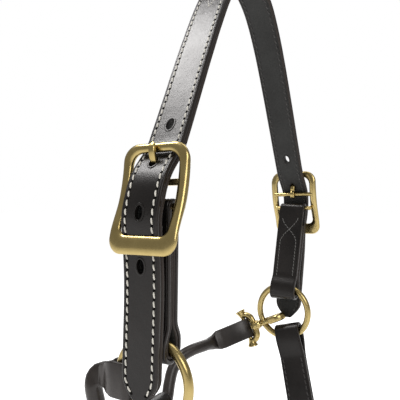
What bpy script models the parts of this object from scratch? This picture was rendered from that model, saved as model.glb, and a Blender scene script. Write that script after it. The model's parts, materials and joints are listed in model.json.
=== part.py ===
"""Leather headcollar with a double-buckle crown, round cheek rings, rolled throat lash and bolt snap.

Frame: origin under the middle of the crown, +Z up, -Y towards the nose, +X towards the left cheek.
"""
import math

import bmesh
import bpy
from mathutils import Matrix, Vector

MM = 0.001

# straps
STRAP_W = 25.0 * MM          # 1 inch straps
LAYER_T = 2.7 * MM           # one layer of bridle leather
PLY_GAP = 0.3 * MM           # between layers that lie on each other
LINER_T = 1.9 * MM           # thin chape inside each tab
CHEEK_T = 3.0 * MM
EDGE_R = 0.8 * MM            # rounded strap edges
LASH_R = 5.6 * MM            # rolled leather
LASH_FLAT_T = 2.8 * MM
RING_LAP_W = 22.4 * MM       # flat ends of the throat lash: round the ring and in the snap
SNAP_LAP_W = 19.0 * MM
HOLE_W = 5.4 * MM            # oval punch
HOLE_L = 8.4 * MM
HOLE_PITCH = 30.0 * MM
HOLE_T = 9.8 * MM            # the hole in use, up the buckle and out of it from the tongue bar
HOLE_OUT = 1.5 * MM
HOLES_ABOVE = 1              # punched above the hole in use
HOLES_BELOW = 2

# rings: 56 mm outside, 44 mm inside
RING_R = 25.0 * MM
WIRE_R = 3.0 * MM
RING_X = 109.0 * MM
RING_Y = 8.0 * MM
RING_Z = -281.0 * MM

# crown buckle
BAR1_X = 117.5 * MM          # tongue bar
BAR1_Z = -164.0 * MM
BUCKLE_TILT = 10.0           # degrees, top leaning in
FRAME_OUT = (23.0 * MM, 22.8 * MM, -42.1 * MM)   # outside: half width, top and foot from the tongue bar
FRAME_IN = (16.6 * MM, 17.2 * MM, -31.2 * MM)    # the same of the window inside
OUT_CORNERS = (10.0 * MM, 6.0 * MM)              # corner radius at the top and at the foot
IN_CORNERS = (6.5 * MM, 4.5 * MM)
BAR1_R = 2.0 * MM
BAR2_R = 1.8 * MM            # tab bar
BAR2_DROP = 13.5 * MM
BAR2_IN = 3.0 * MM
LUG_A = 17.6 * MM            # lugs that carry the tab bar
LUG_R = 2.3 * MM
TONGUE_W = 4.2 * MM
TONGUE_T = 2.8 * MM
TAB_SLOPE = 4.3              # degrees the tabs run back to the rings

# nose part, laid out along the cheeks
SWING = 15.0                 # degrees the cheeks slope forward
CHEEK_LEN = 163.0 * MM       # from the ring's foot to the square's top bar
CHEEK_LEAN = 0.206           # inward per unit down
SQUARE_HALF = 19.0 * MM
SQUARE_R = 2.5 * MM
NOSE_REACH = 105.0 * MM
CHIN_BACK = 88.0 * MM
CHIN_DOWN = 205.0 * MM

# snap
SNAP_POS = Vector((109.0, 48.1, -303.6)) * MM
SNAP_SLOPE = 24.2            # degrees the snap rises towards the ring
LAP_TURN = 55.0              # degrees the lash turns inward round the snap's eye
LAP_LEN = 35.0 * MM          # from the eye to the end of the turned-back leather
BOLT_OFF = 6.5               # millimetres from the snap's axis, as the rest of its sizes below
BOLT_R = 1.75

X = Vector((1, 0, 0))
Y = Vector((0, 1, 0))
Z = Vector((0, 0, 1))
RINGS = Vector((0, RING_Y, RING_Z))
LEATHER = (0.022, 0.014, 0.010)
LINING = (0.045, 0.040, 0.036)
BRASS = (0.62, 0.45, 0.20)
SIDES = (("left", 1), ("right", -1))


# ---------------------------------------------------------------- helpers

def clear_scene():
    for old in list(bpy.data.objects):
        bpy.data.objects.remove(old, do_unlink=True)


def finish(name, bm, color, metal=False, origin=None, smooth=35):
    """Store a bmesh as one named object with its own material and origin."""
    bmesh.ops.remove_doubles(bm, verts=bm.verts, dist=1e-6)
    bmesh.ops.recalc_face_normals(bm, faces=bm.faces)
    origin = origin or Vector()
    bmesh.ops.translate(bm, verts=bm.verts, vec=-origin)
    mesh = bpy.data.meshes.new(name)
    bm.to_mesh(mesh)
    bm.free()
    obj = bpy.data.objects.new(name, mesh)
    obj.location = origin
    bpy.context.scene.collection.objects.link(obj)
    mat = bpy.data.materials.new(name)
    mat.use_nodes = True
    shader = mat.node_tree.nodes["Principled BSDF"]
    shader.inputs["Base Color"].default_value = (*color, 1)
    shader.inputs["Metallic"].default_value = 1.0 if metal else 0.0
    shader.inputs["Roughness"].default_value = 0.32 if metal else 0.55
    mesh.materials.append(mat)
    for poly in mesh.polygons:
        poly.use_smooth = True
    mesh.set_sharp_from_angle(angle=math.radians(smooth))
    return obj


def outline(half_w, half_t, corner, per_corner):
    """Rounded rectangle, or a circle when both halves equal the corner."""
    pts = []
    for sx, sy, start in ((1, 1, 0), (-1, 1, 90), (-1, -1, 180), (1, -1, 270)):
        for i in range(per_corner):
            a = math.radians(start + 90 * (i + 0.5) / per_corner)
            pts.append((sx * (half_w - corner) + corner * math.cos(a),
                        sy * (half_t - corner) + corner * math.sin(a)))
    return pts


def tangents(points, closed=False):
    n = len(points)
    out = []
    for i in range(n):
        a = points[(i - 1) % n] if closed or i else points[0]
        b = points[(i + 1) % n] if closed or i < n - 1 else points[-1]
        out.append((b - a).normalized())
    return out


def sweep(bm, points, across, sizes, per_corner=2, closed=False):
    """Loft a rounded section along a path; across gives its wide direction, sizes its half sizes."""
    n = len(points)
    across = across if isinstance(across, list) else [across] * n
    sizes = sizes if isinstance(sizes, list) else [sizes] * n
    rows = []
    for p, t, a, size in zip(points, tangents(points, closed), across, sizes):
        a = (a - t * a.dot(t)).normalized()
        nrm = a.cross(t)
        rows.append([bm.verts.new(p + a * u + nrm * v) for u, v in outline(*size, per_corner)])
    count = len(rows[0])
    for i in range(n if closed else n - 1):
        r, s = rows[i], rows[(i + 1) % n]
        for k in range(count):
            bm.faces.new((r[k], r[(k + 1) % count], s[(k + 1) % count], s[k]))
    if not closed:
        bm.faces.new(rows[0])
        bm.faces.new(rows[-1][::-1])
    return bm


def spline(points, spacing):
    """Smooth curve through the points, in steps of about the spacing."""
    out = []
    for i in range(len(points) - 1):
        p1, p2 = points[i], points[i + 1]
        p0 = points[i - 1] if i else p1 * 2 - p2
        p3 = points[i + 2] if i + 2 < len(points) else p2 * 2 - p1
        steps = max(1, round((p2 - p1).length / spacing))
        for k in range(steps):
            t = k / steps
            out.append(0.5 * (2 * p1 + (p2 - p0) * t + (2 * p0 - 5 * p1 + 4 * p2 - p3) * t * t
                              + (3 * p1 - p0 - 3 * p2 + p3) * t ** 3))
    return out + [points[-1]]


def ease(t):
    t = min(1.0, max(0.0, t))
    return t * t * (3 - 2 * t)


def lengths(points):
    s = [0.0]
    for a, b in zip(points, points[1:]):
        s.append(s[-1] + (b - a).length)
    return s


def normals(points, across):
    across = across if isinstance(across, list) else [across] * len(points)
    out = []
    for t, a in zip(tangents(points), across):
        a = (a - t * a.dot(t)).normalized()
        out.append(a.cross(t))
    return out


def fold(centre, out, along, radius, steps=8):
    """Half turn of leather round a bar, from the out side to the other."""
    return [centre + out * radius * math.cos(math.pi * k / steps)
            + along * radius * math.sin(math.pi * k / steps) for k in range(steps + 1)]


def spread(s, total, at_start, middle, at_end, blend=22 * MM):
    """Offset of a leg from the strap's middle: wide at each bar, closed between them."""
    return (middle + (at_start - middle) * (1 - ease(s / blend))
            + (at_end - middle) * (1 - ease((total - s) / blend)))


def belt(name, mid, across, bars, thick, middle, slack=(0, 0), color=LEATHER, width=STRAP_W):
    """Strap folded round a bar at each end, its two ends meeting in a seam on the inner leg."""
    across = across if isinstance(across, list) else [across] * len(mid)
    nrm = normals(mid, across)
    tan = tangents(mid)
    s = lengths(mid)
    hs = [spread(v, s[-1], bars[0], middle, bars[1]) for v in s]
    outer = [p + n * h for p, n, h in zip(mid, nrm, hs)]
    inner = [p - n * h for p, n, h in zip(mid, nrm, hs)]
    far = fold(mid[-1] + tan[-1] * slack[1], nrm[-1], tan[-1], bars[1])
    near = fold(mid[0] - tan[0] * slack[0], -nrm[0], -tan[0], bars[0])
    far = far if slack[1] else far[1:-1]
    near = near if slack[0] else near[1:-1]
    seam = len(mid) // 2
    gap = (inner[seam + 1] - inner[seam]).normalized() * PLY_GAP
    pts = [inner[seam] - gap] + inner[seam - 1::-1] + near + outer + far + inner[:seam:-1] + [inner[seam] + gap]
    acr = ([across[seam]] + across[seam - 1::-1] + [across[0]] * len(near) + across + [across[-1]] * len(far)
           + across[:seam:-1] + [across[seam]])
    bm = sweep(bmesh.new(), pts, acr, (width / 2, thick / 2, EDGE_R))
    return finish(name, bm, color)


def cylinder(bm, a, b, radius, sides=16, radius_end=None):
    axis = b - a
    turn = axis.to_track_quat("Z", "Y").to_matrix().to_4x4()
    bmesh.ops.create_cone(bm, cap_ends=True, segments=sides, radius1=radius,
                          radius2=radius if radius_end is None else radius_end, depth=axis.length,
                          matrix=Matrix.Translation((a + b) / 2) @ turn)


def helper(name, build):
    """Hidden solid that is joined to, or cut from, another."""
    bm = bmesh.new()
    build(bm)
    bmesh.ops.recalc_face_normals(bm, faces=bm.faces)
    mesh = bpy.data.meshes.new(name)
    bm.to_mesh(mesh)
    bm.free()
    obj = bpy.data.objects.new(name, mesh)
    bpy.context.scene.collection.objects.link(obj)
    return obj


def combine(obj, tool, operation):
    """Apply one exact Boolean and drop the tool."""
    mod = obj.modifiers.new("join", "BOOLEAN")
    mod.operation = operation
    mod.solver = "EXACT"
    mod.object = tool
    deps = bpy.context.evaluated_depsgraph_get()
    new = bpy.data.meshes.new_from_object(obj.evaluated_get(deps))
    obj.modifiers.clear()
    old = obj.data
    obj.data = new
    bpy.data.meshes.remove(old)
    bpy.data.objects.remove(tool, do_unlink=True)


def torus(name, centre, axis, ring_r, wire_r, steps=40, sides=12):
    u = axis.orthogonal().normalized()
    v = axis.cross(u)
    path = [centre + (u * math.cos(a) + v * math.sin(a)) * ring_r
            for a in (2 * math.pi * i / steps for i in range(steps))]
    bm = sweep(bmesh.new(), path, axis, (wire_r, wire_r, wire_r), per_corner=sides // 4, closed=True)
    return finish(name, bm, BRASS, True, centre)


# ---------------------------------------------------------------- crown

TILT = math.radians(BUCKLE_TILT)


def buckle_point(side, a, t, w):
    """Point in a buckle: a across, t up the frame, w outward, from the middle of the tongue bar."""
    up = Vector((-math.sin(TILT), 0, math.cos(TILT)))
    out = Vector((math.cos(TILT), 0, math.sin(TILT)))
    p = Vector((BAR1_X, 0, BAR1_Z)) + up * t + out * w
    return Vector((side * p.x, a, p.z))


def crown_half():
    """Middle of the doubled strap from its left tip up to the poll."""
    low = [(121.0, 7.7, -291.0), (121.2, 7.0, -275.0), (121.3, 5.2, -250.0), (121.6, 3.0, -221.0),
           (123.3, 1.2, -199.0), (124.9, 0.2, -182.0), (124.8, 0.0, -171.0), (123.5, 0.0, -163.0)]
    mid = [(118.9, 0, -156.2), (109.7, 0, -144.5), (101.2, 0, -128.0), (73.0, 0, -75.0),
           (51.8, 0, -37.0), (34.0, 0, -13.0), (20.0, 0, -2.0)]
    top = Vector((8 * MM, 0, LAYER_T + PLY_GAP / 2))
    return spline([Vector(p) * MM for p in low + mid] + [top], 7 * MM)


def crown_path():
    half = crown_half()
    return half + [Vector((-p.x, p.y, p.z)) for p in reversed(half)]


def point_at(points, s_wanted):
    s = lengths(points)
    for i in range(len(points) - 1):
        if s[i + 1] >= s_wanted:
            f = (s_wanted - s[i]) / (s[i + 1] - s[i])
            return points[i].lerp(points[i + 1], f), (points[i + 1] - points[i]).normalized()
    return points[-1], (points[-1] - points[-2]).normalized()


def nearest_s(points, target):
    s = lengths(points)
    best = min(range(len(points)), key=lambda i: (points[i] - target).length)
    return s[best] + (target - points[best]).dot(tangents(points)[best])


def hole_cutter(side):
    """Ovals punched at an even pitch, one of them at the tongue."""
    half = crown_half()
    start = nearest_s(half, buckle_point(1, 0, HOLE_T, HOLE_OUT))

    def build(bm):
        for k in range(-HOLES_BELOW, HOLES_ABOVE + 1):
            p, t = point_at(half, start + k * HOLE_PITCH)
            n = Y.cross(t).normalized()
            a = t.cross(n)
            rows = []
            for d in (-6 * MM, 6 * MM):
                rows.append([])
                for i in range(20):
                    g = 2 * math.pi * i / 20
                    q = p + n * d + t * math.sin(g) * HOLE_L / 2 + a * math.cos(g) * HOLE_W / 2
                    rows[-1].append(bm.verts.new((side * q.x, q.y, q.z)))
            for i in range(20):
                j = (i + 1) % 20
                bm.faces.new((rows[0][i], rows[0][j], rows[1][j], rows[1][i]))
            bm.faces.new(rows[0])
            bm.faces.new(rows[1][::-1])
    return helper(f"punch_{side}", build)


def tail_width(d):
    """Half width at a distance from the tip: a blunt point."""
    reach = 15 * MM
    return STRAP_W / 2 if d > reach else 3 * MM + (STRAP_W / 2 - 3 * MM) * math.sin(math.pi / 2 * d / reach)


def build_crown():
    path = crown_path()
    nrm = normals(path, Y)
    s = lengths(path)
    extra = [1.5 * MM, 4 * MM, 7.5 * MM, 11 * MM]
    for name, off, color in (("crown_outer", 1, LEATHER), ("crown_lining", -1, LINING)):
        line = [p + n * off * (LAYER_T + PLY_GAP) / 2 for p, n in zip(path, nrm)]
        total = s[-1]
        stations = sorted(set(s + extra + [total - e for e in extra]))
        pts, sizes = [], []
        ls = lengths(line)
        for v in stations:
            p, _ = point_at(line, v * ls[-1] / total)
            pts.append(p)
            sizes.append((tail_width(min(v, total - v)), LAYER_T / 2, EDGE_R))
        obj = finish(name, sweep(bmesh.new(), pts, Y, sizes), color)
        for side in (1, -1):
            combine(obj, hole_cutter(side), "DIFFERENCE")


def height_at(marks, t):
    """Smooth height through (up the frame, height) marks in millimetres, highest mark first."""
    for (t1, w1), (t0, w0) in zip(marks, marks[1:]):
        if t >= t0 * MM:
            return (w0 + (w1 - w0) * ease((t / MM - t0) / (t1 - t0))) * MM
    return marks[-1][1] * MM


def face_out(t):
    """Outer face of the frame: level beside the bars, then out over the tail."""
    return height_at(((24, 4.8), (16, 4.6), (9, 4.0), (-3, 4.3), (-12.4, 4.6), (-29, 8.6), (-43, 9.0)), t)


def face_in(t):
    """Inner face of the frame, lifted at the top bar where the crown passes under it."""
    return height_at(((24, 1.0), (18, 0.9), (10, -1.2), (-3, -1.4), (-12.4, -0.3), (-29, 5.0), (-43, 4.6)), t)


def frame_curve(shape, corners, per_arc, per_side):
    """Rounded rectangle of the frame as (across, up) points, anticlockwise from its right side."""
    half, top, foot = shape
    pts = []
    for sa, st, start in ((1, 1, 0), (-1, 1, 90), (-1, -1, 180), (1, -1, 270)):
        r = corners[0] if st > 0 else corners[1]
        ca, ct = sa * (half - r), (top - r if st > 0 else foot + r)
        for k in range(per_arc + 1):
            g = math.radians(start + 90 * k / per_arc)
            pts.append((ca + r * math.cos(g), ct + r * math.sin(g)))
        upright = start in (90, 270)
        other = corners[1] if st > 0 else corners[0]
        goal = (sa * half, foot + other if st > 0 else top - other) if upright else (-ca, top if st > 0 else foot)
        a, t = pts[-1]
        steps = per_side if upright else 4
        pts += [(a + (goal[0] - a) * k / steps, t + (goal[1] - t) * k / steps) for k in range(1, steps)]
    return pts


def build_buckle(label, side):
    """Cast frame with its tongue bar, and the tab bar set back on two lugs."""
    outer = frame_curve(FRAME_OUT, OUT_CORNERS, 4, 9)
    inner = frame_curve(FRAME_IN, IN_CORNERS, 4, 9)
    centre, across, sizes = [], [], []
    for (ao, to), (ai, ti) in zip(outer, inner):
        a, t = (ao + ai) / 2, (to + ti) / 2
        high, low = face_out(t), face_in(t)
        centre.append(buckle_point(side, a, t, (high + low) / 2))
        across.append(buckle_point(side, ao, to, 0) - buckle_point(side, ai, ti, 0))
        half_w, half_d = across[-1].length / 2, (high - low) / 2
        sizes.append((half_w, half_d, 0.8 * min(half_w, half_d)))
    bm = sweep(bmesh.new(), centre, across, sizes, 2, True)
    obj = finish(f"{label}_buckle_frame", bm, BRASS, True)

    def rod(a0, t0, w0, a1, t1, w1, radius):
        return lambda b: cylinder(b, buckle_point(side, a0, t0, w0), buckle_point(side, a1, t1, w1), radius)

    half = (FRAME_OUT[0] + FRAME_IN[0]) / 2
    t2 = -BAR2_DROP
    rods = [rod(-half, 0, 0, half, 0, 0, BAR1_R), rod(-LUG_A, t2, -BAR2_IN, LUG_A, t2, -BAR2_IN, BAR2_R)]
    for way in (-1, 1):
        rods.append(rod(way * LUG_A, t2, -BAR2_IN - LUG_R, way * LUG_A, t2, 2 * MM, LUG_R))
    for k, solid in enumerate(rods):
        combine(obj, helper(f"rod_{k}", solid), "UNION")


def build_tongue(label, side):
    """Tongue looped round its bar, up through the strap and onto the top bar."""
    curl = []
    for g in range(145, 346, 20):
        half_t = TONGUE_T / 2 * (0.45 + 0.55 * ease((g - 145) / 120))
        reach = BAR1_R + 0.3 * MM + half_t
        curl.append((reach * math.sin(math.radians(g)), reach * math.cos(math.radians(g)), half_t))
    rise = [(-1.5, 4.7), (-0.8, 7.2), (1.5, 10.0), (4.5, 12.7), (6.4, 16.0), (6.8, 19.3), (6.5, 22.0)]
    line = curl + [(w * MM, t * MM, TONGUE_T / 2) for w, t in rise]
    pts = [buckle_point(side, 0, t, w) for w, t, _ in line]
    sizes = [(TONGUE_W / 2, half_t, 0.6 * half_t) for _, _, half_t in line]
    bm = sweep(bmesh.new(), pts, Y, sizes, 2)
    finish(f"{label}_buckle_tongue", bm, BRASS, True, buckle_point(side, 0, 0, 0))


# ---------------------------------------------------------------- tabs and rings

def build_tab(label, side):
    top = buckle_point(side, 0, -BAR2_DROP, -BAR2_IN)
    slope = math.radians(TAB_SLOPE)
    foot = Vector((side * RING_X, RING_Y - RING_R * math.sin(slope), RING_Z + RING_R * math.cos(slope)))
    steps = 14
    mid = [top.lerp(foot, k / steps) for k in range(steps + 1)]
    across = -side * Y
    lap = LINER_T + PLY_GAP + LAYER_T / 2
    at_ring = WIRE_R + 1.0 * MM
    belt(f"{label}_tab", mid, across, (BAR2_R + 0.3 * MM + LAYER_T / 2, at_ring + lap), LAYER_T,
         0.2 * MM + lap, (0, 3.9 * MM))
    nrm, tan, s = normals(mid, across), tangents(mid), lengths(mid)
    first = 3
    hs = [spread(v, s[-1], 0.2 * MM + LINER_T / 2, 0.2 * MM + LINER_T / 2, at_ring + LINER_T / 2) for v in s]
    down = [p + n * h for p, n, h in zip(mid, nrm, hs)][first:]
    up = [p - n * h for p, n, h in zip(mid, nrm, hs)][first:]
    turn = fold(mid[-1] + tan[-1] * 3.9 * MM, nrm[-1], tan[-1], at_ring + LINER_T / 2)
    bm = sweep(bmesh.new(), down + turn + up[::-1], across, (STRAP_W / 2 - 0.4 * MM, LINER_T / 2, 0.6 * MM))
    finish(f"{label}_tab_liner", bm, LINING)


# ---------------------------------------------------------------- nose part

SW = math.radians(SWING)
DOWN = Vector((0, -math.sin(SW), -math.cos(SW)))
FORE = Vector((0, -math.cos(SW), math.sin(SW)))


def nose_point(x, f, u):
    """Point x sideways, f forward and u down from the middle between the rings."""
    return RINGS + X * x + FORE * f + DOWN * u


def cheek_dir(side):
    return (DOWN - X * side * CHEEK_LEAN).normalized()


def square_centre(side):
    return nose_point(side * RING_X, 0, RING_R) + cheek_dir(side) * (CHEEK_LEN + SQUARE_HALF)


def build_cheek(label, side):
    start = nose_point(side * RING_X, 0, RING_R)
    steps = 18
    mid = [start + cheek_dir(side) * CHEEK_LEN * k / steps for k in range(steps + 1)]
    belt(f"{label}_cheek", mid, FORE * side,
         (WIRE_R + 1.3 * MM + CHEEK_T / 2, SQUARE_R + 0.3 * MM + CHEEK_T / 2), CHEEK_T,
         PLY_GAP / 2 + CHEEK_T / 2, (5.0 * MM, 0))


def build_square(label, side):
    c, d = square_centre(side), cheek_dir(side)
    r = 5 * MM
    pts = []
    for sf, sd, start in ((1, 1, 0), (-1, 1, 90), (-1, -1, 180), (1, -1, 270)):
        for k in range(4):
            g = math.radians(start + 30 * k)
            pts.append(c + FORE * (sf * (SQUARE_HALF - r) + r * math.cos(g))
                       + d * (sd * (SQUARE_HALF - r) + r * math.sin(g)))
    out = FORE.cross(d)
    bm = sweep(bmesh.new(), pts, out, (SQUARE_R, SQUARE_R, SQUARE_R), 3, True)
    finish(f"{label}_square", bm, BRASS, True)


def build_noseband():
    """Outer strap folded round both squares, with a lining between its turned-in ends."""
    c = square_centre(1)
    x0 = c.x
    u0 = (c - RINGS).dot(DOWN)
    steps = 30
    mid, across = [], []
    for k in range(steps + 1):
        g = math.pi * k / steps
        f = SQUARE_HALF + NOSE_REACH * math.sin(g) ** 0.9
        x = x0 * math.copysign(abs(math.cos(g)) ** 0.9, math.cos(g))
        mid.append(nose_point(x, f, u0))
        across.append(-(DOWN - X * CHEEK_LEAN * x / x0).normalized())
    bar = SQUARE_R + 0.3 * MM + LAYER_T / 2
    nrm, tan, s = normals(mid, across), tangents(mid), lengths(mid)
    tan[0], tan[-1] = FORE, -FORE
    nrm[0] = (across[0].cross(tan[0])).normalized()
    nrm[-1] = (across[-1].cross(tan[-1])).normalized()
    ply = LAYER_T / 2 + PLY_GAP / 2
    hs = [spread(v, s[-1], bar, ply, bar, 20 * MM) for v in s]
    outer = [p + n * h for p, n, h in zip(mid, nrm, hs)]
    inner = [p - n * h for p, n, h in zip(mid, nrm, hs)]
    turn_in = 4
    near = fold(mid[0], -nrm[0], -tan[0], bar)[1:-1]
    far = fold(mid[-1], nrm[-1], tan[-1], bar)[1:-1]
    pts = inner[turn_in::-1] + near + outer + far + inner[:-turn_in - 2:-1]
    acr = (across[turn_in::-1] + [across[0]] * len(near) + across + [across[-1]] * len(far)
           + across[:-turn_in - 2:-1])
    finish("noseband_outer", sweep(bmesh.new(), pts, acr, (STRAP_W / 2, LAYER_T / 2, EDGE_R)), LEATHER)
    a, b = turn_in + 1, len(mid) - turn_in - 1
    finish("noseband_lining", sweep(bmesh.new(), inner[a:b], across[a:b], (STRAP_W / 2, LAYER_T / 2, EDGE_R)),
           LINING)


LEAD = nose_point(0, -CHIN_BACK, CHIN_DOWN)
LASH_DIP = Vector((0, 84, -357)) * MM
JOWL = (LASH_DIP - LEAD).normalized()


def build_chin(label, side):
    c = square_centre(side)
    x0 = abs(c.x)
    u0 = (c - RINGS).dot(DOWN)
    steps = 16
    mid, across = [], []
    for k in range(steps + 1):
        g = math.pi / 2 * k / steps
        x = RING_R + (x0 - RING_R) * math.cos(g)
        f = -SQUARE_HALF - (CHIN_BACK - SQUARE_HALF) * math.sin(g)
        mid.append(nose_point(side * x, f, u0 + (CHIN_DOWN - u0) * k / steps))
        across.append(side * cheek_dir(side).lerp(-JOWL, k / steps).normalized())
    belt(f"{label}_chin_strap", mid, across,
         (SQUARE_R + 0.35 * MM + LAYER_T / 2, WIRE_R + 0.6 * MM + LAYER_T / 2), LAYER_T,
         PLY_GAP / 2 + LAYER_T / 2, (0, 4.2 * MM))


def build_jowl():
    start = LEAD + JOWL * RING_R
    steps = 14
    mid = [start.lerp(LASH_DIP, k / steps) for k in range(steps + 1)]
    belt("jowl_strap", mid, -X,
         (WIRE_R + 0.4 * MM + LAYER_T / 2, LASH_R + 1.6 * MM + LAYER_T / 2), LAYER_T,
         PLY_GAP / 2 + LAYER_T / 2, (3.9 * MM, 3.0 * MM))


# ---------------------------------------------------------------- throat lash and snap

RISE = math.radians(SNAP_SLOPE)
S_DIR = Vector((0, -math.cos(RISE), math.sin(RISE)))
E_DIR = Vector((0, math.sin(RISE), math.cos(RISE)))
TURN = math.radians(LAP_TURN)
LAP_DIR = -X * math.sin(TURN) - S_DIR * math.cos(TURN)
LAP_OUT = E_DIR.cross(LAP_DIR)


def snap_point(s, e, n):
    """Point s along the snap towards its hook, e along the eye's bar, n outward, in millimetres."""
    return SNAP_POS + (S_DIR * s + E_DIR * e + X * n) * MM


def build_lash():
    """Rolled leather whose two flat ends turn back on themselves, one round the right ring, one in the snap."""
    flat = LASH_FLAT_T / 2
    rows = []

    def add(p, a, half_w, half_t, corner):
        rows.append((p, a, (half_w, half_t, corner)))

    wire = Vector((-RING_X, RING_Y + RING_R, RING_Z - 2 * MM))
    neck = ((14, 1.9, 6.9), (10, 2.6, 7.8), (6.5, 4.1, 9.8), (2.5, 5.0, 11.0))   # back, aside, half width
    for back, aside, half_w in neck:
        add(wire + Vector((-aside, back, 0)) * MM, -Z, half_w * MM, flat, EDGE_R)
    for p in fold(wire - Y * 5.3 * MM, -X, -Y, WIRE_R + 0.4 * MM + flat):
        add(p, -Z, RING_LAP_W / 2, flat, EDGE_R)
    for back, aside, half_w in neck[::-1]:
        add(wire + Vector((aside, back, 0)) * MM, -Z, half_w * MM, flat, EDGE_R)
    route = [(-109.2, 50.5, -284.4), (-109.9, 53.6, -287.6), (-109.9, 54.6, -292.0), (-109.4, 53.8, -298.0),
             (-108.2, 52.6, -306.0), (-105.0, 54.0, -319.0), (-98.0, 60.0, -335.0), (-85.0, 68.0, -350.0),
             (-66.0, 75.5, -359.5), (-45.0, 81.0, -362.0), (-27.0, 83.6, -359.6), (-13.0, 84.0, -357.2),
             (0.0, 84.0, -357.0), (12.5, 84.4, -356.4), (20.0, 87.0, -350.5), (26.0, 89.0, -341.0),
             (33.0, 89.5, -330.0), (42.0, 86.0, -320.8), (52.0, 80.5, -316.4), (63.0, 75.5, -314.8)]
    lap_end = SNAP_POS + LAP_DIR * (LAP_LEN + 5 * MM) - LAP_OUT * 1.4 * MM
    line = spline([Vector(p) * MM for p in route] + [lap_end], 6 * MM)
    s = lengths(line)
    for p, v in zip(line, s):
        near = 1 - ease(v / (9 * MM))
        far = 1 - ease((s[-1] - v) / (9 * MM))
        half_w = LASH_R + (7.0 * MM - LASH_R) * near + (SNAP_LAP_W / 2 - LASH_R) * 0.35 * far
        half_t = LASH_R + (2.6 * MM - LASH_R) * near + (2.9 * MM - LASH_R) * far
        aside = X if 22 * MM < v < s[-1] - 60 * MM else (-Z if v < s[-1] / 2 else -E_DIR)
        add(p, aside, half_w, half_t, min(half_w, half_t) * 0.98)
    laps = ((LAP_LEN / MM - 1, 1.8), (LAP_LEN / MM - 8, 1.8), (16, 1.9), (9, 2.5), (4.5, 3.5))
    for along, off in laps:
        add(SNAP_POS + (LAP_DIR * along - LAP_OUT * off) * MM, -E_DIR, SNAP_LAP_W / 2, flat, EDGE_R)
    for p in fold(SNAP_POS, -LAP_OUT, -LAP_DIR, 2.3 * MM + flat):
        add(p, -E_DIR, SNAP_LAP_W / 2, flat, EDGE_R)
    for along, off in laps[::-1]:
        add(SNAP_POS + (LAP_DIR * along + LAP_OUT * off) * MM, -E_DIR, SNAP_LAP_W / 2, flat, EDGE_R)
    pts, acr, sizes = (list(v) for v in zip(*rows))
    finish("throat_lash", sweep(bmesh.new(), pts, acr, sizes, 3), LEATHER)


def rod(s0, s1, n, radius, end=None, sides=20):
    """Builder of a round rod or cone along the snap's axis, in millimetres."""
    end = radius if end is None else end
    return lambda b: cylinder(b, snap_point(s0, 0, n), snap_point(s1, 0, n), radius * MM, sides, end * MM)


def build_snap_eye():
    """Eye whose bar the lash turns round, with a flared end above and below."""
    loop = [(0, -13.2, 2.3), (5.2, -13.2, 2.3), (9.0, -9.4, 2.2), (10.2, -4, 1.7), (10.2, 4, 1.7), (9.0, 9.4, 2.2),
            (5.2, 13.2, 2.3), (0, 13.2, 2.3), (0, 10.5, 2.0), (0, 0, 2.0), (0, -10.5, 2.0)]
    pts = [snap_point(s, e, 0) for s, e, _ in loop]
    bm = sweep(bmesh.new(), pts, X, [(r * MM, r * MM, r * MM) for _, _, r in loop], 2, True)
    obj = finish("snap_eye", bm, BRASS, True, snap_point(0, 0, 0))
    parts = [rod(8.6, 12.0, 0, 5.2)]
    for way in (-1, 1):
        parts.append(lambda b, w=way: cylinder(b, snap_point(0.6, w * 12.5, 0), snap_point(-0.4, w * 18.4, 0),
                                               2.3 * MM, 12, 4.2 * MM))
    for k, solid in enumerate(parts):
        combine(obj, helper(f"eye_{k}", solid), "UNION")
    combine(obj, helper("eye_bore", rod(7, 14, 0, 2.15)), "DIFFERENCE")


def build_snap_body():
    """Swivelling hook with the barrel that its bolt slides in."""
    bend = [(36.5 + 6.5 * math.sin(math.radians(g)), 6.5 * math.cos(math.radians(g))) for g in range(0, 181, 22)]
    hook = [(14.4, 0.5), (16, 3.3), (17.7, 5.7), (20, BOLT_OFF), (27, BOLT_OFF), (34, BOLT_OFF)]
    hook += bend + [(33, -BOLT_OFF), (30, -BOLT_OFF)]
    pts = [snap_point(s, 0, n) for s, n in hook]
    bm = sweep(bmesh.new(), pts, E_DIR, (3.4 * MM, 2.3 * MM, 1.6 * MM), 2)
    obj = finish("snap_body", bm, BRASS, True, snap_point(0, 0, 0))
    parts = (rod(12.4, 16.4, 0, 4.6, 3.2), rod(7.5, 13.5, 0, 1.8), rod(6.2, 8.2, 0, 3.1), rod(12.6, 20, -BOLT_OFF, 3.2))
    for k, solid in enumerate(parts):
        combine(obj, helper(f"part_{k}", solid), "UNION")
    combine(obj, helper("bolt_bore", rod(12, 21, -BOLT_OFF, 2.1)), "DIFFERENCE")

    def slot(b):
        sweep(b, [snap_point(12.0, 0, -BOLT_OFF - 3), snap_point(21, 0, -BOLT_OFF - 3)], E_DIR,
              (1.35 * MM, 3 * MM, 0.2 * MM), 2)
    combine(obj, helper("slot", slot), "DIFFERENCE")


def build_snap_bolt():
    """Bolt with its thumb knob."""
    bm = bmesh.new()
    rod(18.6, 29.6, -BOLT_OFF, BOLT_R)(bm)
    obj = finish("snap_bolt", bm, BRASS, True, snap_point(18.6, 0, -BOLT_OFF))
    stem = snap_point(19.9, 0, -BOLT_OFF)
    for k, (n0, n1, radius, end) in enumerate(((0, 4.5, 0.95, 0.95), (4.0, 6.2, 2.3, 1.7))):
        combine(obj, helper(f"knob_{k}", lambda b: cylinder(
            b, stem - X * n0 * MM, stem - X * n1 * MM, radius * MM, 16, end * MM)), "UNION")


# ---------------------------------------------------------------- assembly

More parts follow.
